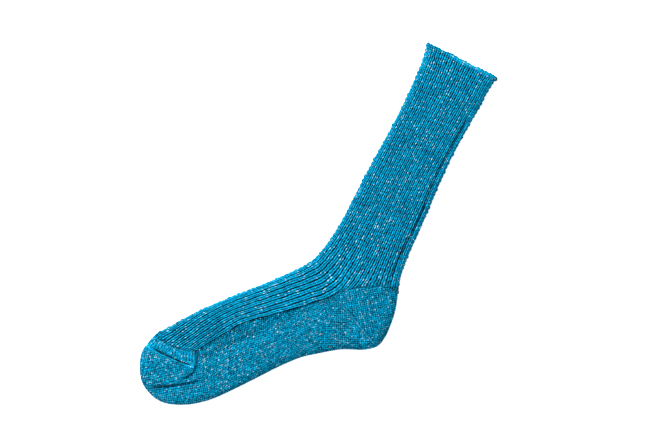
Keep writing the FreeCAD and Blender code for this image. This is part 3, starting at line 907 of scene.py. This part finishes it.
def makeYarn(name):
    material = bpy.data.materials.new(name)
    material.use_nodes = True
    tree = material.node_tree
    nodes, links = tree.nodes, tree.links
    shader = nodes["Principled BSDF"]
    shader.inputs["Roughness"].default_value = yarn["roughness"]
    shader.inputs["Specular IOR Level"].default_value = yarn["specular"]
    stitches = nodes.new("ShaderNodeVertexColor")
    stitches.layer_name = "yarn"
    parts = nodes.new("ShaderNodeSeparateColor")
    links.new(stitches.outputs["Color"], parts.inputs["Color"])
    where = nodes.new("ShaderNodeTexCoord")
    fuzz = nodes.new("ShaderNodeTexNoise")
    fuzz.inputs["Scale"].default_value = yarn["fuzzScale"]
    fuzz.inputs["Detail"].default_value = 3.0
    links.new(where.outputs["Object"], fuzz.inputs["Vector"])
    tint = nodes.new("ShaderNodeMath")
    tint.operation = "MULTIPLY_ADD"
    tint.inputs[1].default_value = 0.35
    links.new(fuzz.outputs["Fac"], tint.inputs[0])
    base = nodes.new("ShaderNodeMath")
    base.operation = "MULTIPLY_ADD"
    base.inputs[1].default_value = 0.62
    base.inputs[2].default_value = 0.04
    links.new(parts.outputs["Green"], base.inputs[0])
    links.new(base.outputs[0], tint.inputs[2])
    ramp = nodes.new("ShaderNodeValToRGB")
    points = ramp.color_ramp.elements
    for index, (place, colour) in enumerate(yarn["ramp"]):
        spot = points[index] if index < 2 else points.new(place)
        spot.position = place
        spot.color = linear(colour)
    links.new(tint.outputs[0], ramp.inputs["Fac"])
    # painted shade: the deep colour mixed in where a point is less open
    depth = nodes.new("ShaderNodeMix")
    depth.data_type = "RGBA"
    depth.inputs["A"].default_value = linear(yarn["deep"])
    links.new(ramp.outputs["Color"], depth.inputs["B"])
    rise = nodes.new("ShaderNodeMapRange")
    rise.interpolation_type = "SMOOTHSTEP"
    rise.inputs["From Min"].default_value = yarn["darkBelow"]
    rise.inputs["From Max"].default_value = yarn["fullAbove"]
    links.new(parts.outputs["Red"], rise.inputs["Value"])
    links.new(rise.outputs["Result"], depth.inputs["Factor"])
    pale = nodes.new("ShaderNodeMix")
    pale.data_type = "RGBA"
    links.new(depth.outputs["Result"], pale.inputs["A"])
    pale.inputs["B"].default_value = linear(yarn["fleck"])
    links.new(parts.outputs["Blue"], pale.inputs["Factor"])
    links.new(pale.outputs["Result"], shader.inputs["Base Color"])
    bump = nodes.new("ShaderNodeBump")
    bump.inputs["Strength"].default_value = 0.35
    bump.inputs["Distance"].default_value = yarn["fuzzDepth"]
    links.new(fuzz.outputs["Fac"], bump.inputs["Height"])
    links.new(bump.outputs["Normal"], shader.inputs["Normal"])
    return material


ribYarn, plainYarn = makeYarn("rib yarn"), makeYarn("plain yarn")
goreYarn, seamYarn = makeYarn("gore yarn"), makeYarn("seam yarn")


def makeElastic():
    material = bpy.data.materials.new("covered elastic")
    material.use_nodes = True
    shader = material.node_tree.nodes["Principled BSDF"]
    shader.inputs["Base Color"].default_value = linear((150, 196, 210))
    shader.inputs["Roughness"].default_value = 0.7
    return material


elasticYarn = makeElastic()


# Which body each piece moves with, the CAD part it stands for, and its finish.
def placePiece(piece, material, replaced, body=None):
    piece.data.materials.append(material)
    if body:
        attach(piece, body)
    else:
        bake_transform(piece)
    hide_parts(*replaced)


placePiece(legUpper, ribYarn, ["leg_upper"], body="upper_leg")
placePiece(foldBand, ribYarn, ["leg_fold_band"])
placePiece(legLower, ribYarn, ["leg_lower"], body="lower_leg")
placePiece(ankleBand, ribYarn, ["ankle_band"])
placePiece(instep, ribYarn, ["instep_panel"], body="foot")
placePiece(heelUpper, plainYarn, ["heel_upper"], body="foot")
placePiece(heelGore, goreYarn, ["heel_gore_near", "heel_gore_far"], body="foot")
placePiece(heelLower, plainYarn, ["heel_lower"], body="foot")
placePiece(solePanel, plainYarn, ["sole_panel"], body="foot")
placePiece(plainCourses, plainYarn, ["plain_courses"], body="foot")
placePiece(toeSeam, seamYarn, ["toe_seam"], body="foot")
placePiece(toeUpper, plainYarn, ["toe_upper"], body="foot")
placePiece(toeGore, goreYarn, ["toe_gore_near", "toe_gore_far"], body="foot")
placePiece(toeLower, plainYarn, ["toe_lower"], body="foot")
placePiece(cuffLip, plainYarn, ["welt_edge"], body="upper_leg")
placePiece(cuffHem, plainYarn, ["welt_hem"], body="upper_leg")
placePiece(cuffElastic, elasticYarn, ["elastic_yarn"], body="upper_leg")


# A pale table that glows, painted light that whitens the sock's shadow on it and lights the sock
# from below, and soft light: one large lamp from the upper left and a bright white room.
light = dict(key=43.5, keySize=0.4, aim=(-0.046, 0.0185, 0.0), away=(-0.85, 0.3, 1.33), room=0.4,
             tableGlow=0.8)


def makeTable():
    points = np.array([(-4, -4, 0), (4, -4, 0), (4, 4, 0), (-4, 4, 0)], float) - [0, 0, 0.0002]
    mesh = bpy.data.meshes.new("table")
    mesh.from_pydata(points.tolist(), [], [(0, 1, 2, 3)])
    table = bpy.data.objects.new("table", mesh)
    bpy.context.collection.objects.link(table)
    material = bpy.data.materials.new("white table")
    material.use_nodes = True
    shader = material.node_tree.nodes["Principled BSDF"]
    shader.inputs["Base Color"].default_value = (0.94, 0.94, 0.94, 1)
    shader.inputs["Roughness"].default_value = 0.9
    shader.inputs["Specular IOR Level"].default_value = 0.1
    # painted light: the table glows though it is no lamp
    shader.inputs["Emission Color"].default_value = (1, 1, 1, 1)
    shader.inputs["Emission Strength"].default_value = light["tableGlow"]
    mesh.materials.append(material)


def makeLight():
    world = bpy.data.worlds.new("room")
    bpy.context.scene.world = world
    world.use_nodes = True
    background = world.node_tree.nodes["Background"]
    background.inputs["Color"].default_value = (1, 1, 1, 1)
    background.inputs["Strength"].default_value = light["room"]
    data = bpy.data.lights.new("key", "AREA")
    data.shape = "DISK"
    data.size = light["keySize"]
    data.energy = light["key"]
    lamp = bpy.data.objects.new("key", data)
    bpy.context.collection.objects.link(lamp)
    away = np.array(light["away"])
    spot = np.array(light["aim"]) + away
    lamp.location = spot.tolist()
    down = -away / np.linalg.norm(away)
    yaw = math.atan2(down[1], down[0])
    tilt = math.acos(-down[2])
    lamp.rotation_euler = (tilt, 0, yaw - math.pi / 2)


makeTable()
makeLight()
bpy.context.scene.view_settings.view_transform = "Standard"
print("table and light ready")
